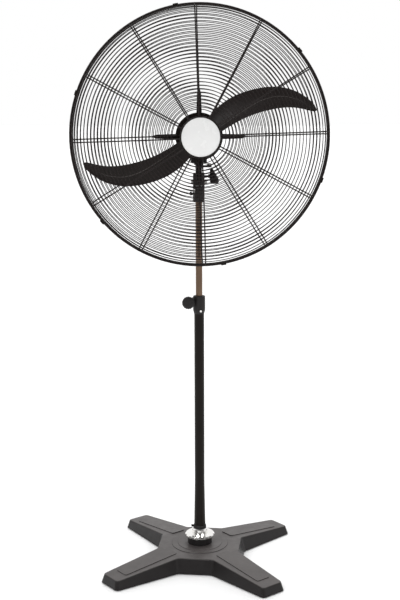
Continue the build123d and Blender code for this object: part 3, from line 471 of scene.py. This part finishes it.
def capacitor_strap(finishes):
    """A sheet band round the capacitor's can."""
    low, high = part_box("capacitor")
    middle = (low + high) / 2
    reach = (high.x - low.x) / 2 / MM
    place = Matrix.Translation(middle) @ Matrix.Rotation(pi / 2, 4, "X") @ Matrix.Scale(MM, 4)
    shape = Shape()
    inside, outside = reach - STRAP_SINK, reach + STRAP_THICK
    profile = [(inside, -STRAP_HALF, 0), (outside - 0.3, -STRAP_HALF, 0), (outside, 0.4 - STRAP_HALF, 0)]
    profile += [(outside, STRAP_HALF - 0.4, 0), (outside - 0.3, STRAP_HALF, 0), (inside, STRAP_HALF, 0)]
    shape.turned(profile, place, 48, closed=True)
    shape.finish("capacitor_strap", "head", "steel", finishes)


def smoothed(points, steps):
    """A smooth run through the points, with so many steps between each two."""
    ends = [points[0], *points, points[-1]]
    run = []
    for before, first, last, after in zip(ends, ends[1:], ends[2:], ends[3:]):
        for step in range(steps):
            share = step / steps
            spot = []
            for a, b, c, d in zip(before, first, last, after):
                curve = (2 * a - 5 * b + 4 * c - d) * share**2 + (3 * b - a - 3 * c + d) * share**3
                spot.append(b + (c - a) * share / 2 + curve / 2)
            run.append(tuple(spot))
    return run + [points[-1]]


def blade_creases(finishes):
    """The faint raised bead pressed along each wing, laid on the blade's own front face; its paler finish
    is a painted highlight.
    """
    blade = frame["nodes"]["fan_blade"]
    shape = Shape()
    for wing in range(2):
        spots = []
        for along, across in smoothed(CREASE, CREASE_STEPS):
            start = head_place(BLADE_CLOCK + 180 * wing) @ Vector((along, across, BEFORE_BLADE))
            hit, spot, _, _ = blade.ray_cast(start, Vector((0, 1, 0)))
            if hit:
                spots.append(spot + Vector((0, CREASE_LIFT * MM, 0)))
        shape.strand(spots, CREASE_R)
    # The bead is given the paler finish, a painted highlight
    shape.finish("blade_creases", "rotor", "blade_black", finishes, "painted_crease_highlight")


def loose_parts(mesh):
    """Boxes of a mesh's separate pieces, as (low, high) corners."""
    made = bmesh.new()
    made.from_mesh(mesh)
    waiting = set(made.verts)
    boxes = []
    while waiting:
        stack = [waiting.pop()]
        found = list(stack)
        while stack:
            for edge in stack.pop().link_edges:
                for vert in edge.verts:
                    if vert in waiting:
                        waiting.remove(vert)
                        stack.append(vert)
                        found.append(vert)
        corners = list(zip(*[vert.co for vert in found]))
        boxes.append((Vector([min(c) for c in corners]), Vector([max(c) for c in corners])))
    made.free()
    return boxes


def weld_nuggets(finishes):
    """Small welds where the guard's ring wires cross its ribs."""
    for side, inward in (("front", -1), ("rear", 1)):
        offset = RIB_OFFSET[side]
        shape = Shape()
        for low, high in loose_parts(frame["nodes"][f"{side}_guard_rings"].data):
            reach = (high.x - low.x) / 2 / MM - RING_WIRE
            forward = -(low.y + high.y) / 2 / MM
            if reach > WELD_REACH:
                continue
            for rib in range(RIB_COUNT):
                along = (reach**2 - offset**2) ** 0.5
                spot = Vector((along, offset, forward + inward * RING_WIRE))
                place = head_place(RIB_CLOCK + rib * 360 / RIB_COUNT) @ Matrix.Translation(spot)
                shape.nugget(WELD_R, place)
        shape.finish(f"{side}_welds", "head", "wire", finishes)


# ---------------------------------------------------------------- stage, light and camera


def floor_material():
    sheet = Sheet("floor")
    sheet.shader.inputs["Roughness"].default_value = 0.9
    tone = sheet.blend(sheet.spread(sheet.noise(1.2), 0.0, 1.0), (0.9, 0.9, 0.9), (0.88, 0.88, 0.88))
    sheet.link(tone, sheet.shader.inputs["Base Color"])
    return sheet.material


def make_stage():
    mesh = bpy.data.meshes.new("floor")
    corners = [(x * FLOOR_HALF, y * FLOOR_HALF, 0) for x, y in ((-1, -1), (1, -1), (1, 1), (-1, 1))]
    mesh.from_pydata(corners, [], [(0, 1, 2, 3)])
    floor = bpy.data.objects.new("floor", mesh)
    floor.data.materials.append(floor_material())
    bpy.context.scene.collection.objects.link(floor)


def sun(name, bearing, height, power):
    """A soft far light; bearing is degrees from straight in front, to the right."""
    light = bpy.data.lights.new(name, "SUN")
    light.energy = power
    light.angle = radians(SUN_SPREAD)
    lamp = bpy.data.objects.new(name, light)
    turn, lift = radians(bearing), radians(height)
    away = Vector((sin(turn) * cos(lift), -cos(turn) * cos(lift), sin(lift)))
    lamp.rotation_euler = away.to_track_quat("Z", "Y").to_euler()
    bpy.context.scene.collection.objects.link(lamp)


def make_world():
    """A white room, dim in front of the fan and full behind it."""
    world = bpy.data.worlds.new("studio")
    world.use_nodes = True
    tree = world.node_tree
    facing = tree.nodes.new("ShaderNodeTexCoord").outputs["Generated"]
    split = tree.nodes.new("ShaderNodeSeparateXYZ")
    tree.links.new(facing, split.inputs["Vector"])
    depth = tree.nodes.new("ShaderNodeMapRange")
    depth.interpolation_type = "SMOOTHSTEP"
    for name, value in (("From Min", -0.5), ("From Max", 0.5), ("To Min", ROOM_DIM), ("To Max", 1.0)):
        depth.inputs[name].default_value = value
    tree.links.new(split.outputs["Y"], depth.inputs["Value"])
    background = tree.nodes["Background"]
    background.inputs["Color"].default_value = (1.0, 1.0, 1.0, 1.0)
    # Seen directly the room is white all round, so every view has the same plain backdrop.
    seen = tree.nodes.new("ShaderNodeLightPath").outputs["Is Camera Ray"]
    strength = tree.nodes.new("ShaderNodeMath")
    strength.operation = "MAXIMUM"
    tree.links.new(depth.outputs["Result"], strength.inputs[0])
    tree.links.new(seen, strength.inputs[1])
    tree.links.new(strength.outputs["Value"], background.inputs["Strength"])
    bpy.context.scene.world = world


def make_lights():
    make_world()
    for name, bearing, height, power in SUNS:
        sun(name, bearing, height, power)


def make_camera():
    camera = bpy.data.cameras.new("camera")
    camera.lens = CAMERA_LENS
    camera.sensor_width = SENSOR_WIDTH
    holder = bpy.data.objects.new("camera", camera)
    pan = Matrix.Rotation(-radians(CAMERA_PAN), 4, "Z")
    tilt = Matrix.Rotation(radians(90 - CAMERA_DOWN), 4, "X")
    roll = Matrix.Rotation(-radians(CAMERA_ROLL), 4, "Z")
    holder.matrix_world = Matrix.Translation(CAMERA_PLACE) @ pan @ tilt @ roll
    bpy.context.scene.collection.objects.link(holder)
    bpy.context.scene.camera = holder


finishes = dress_frame()
for make_piece in (badge_rim, motor_fins, case_trim, capacitor_strap, blade_creases, weld_nuggets):
    make_piece(finishes)
make_stage()
make_lights()
make_camera()
bpy.context.scene.view_settings.view_transform = "Standard"
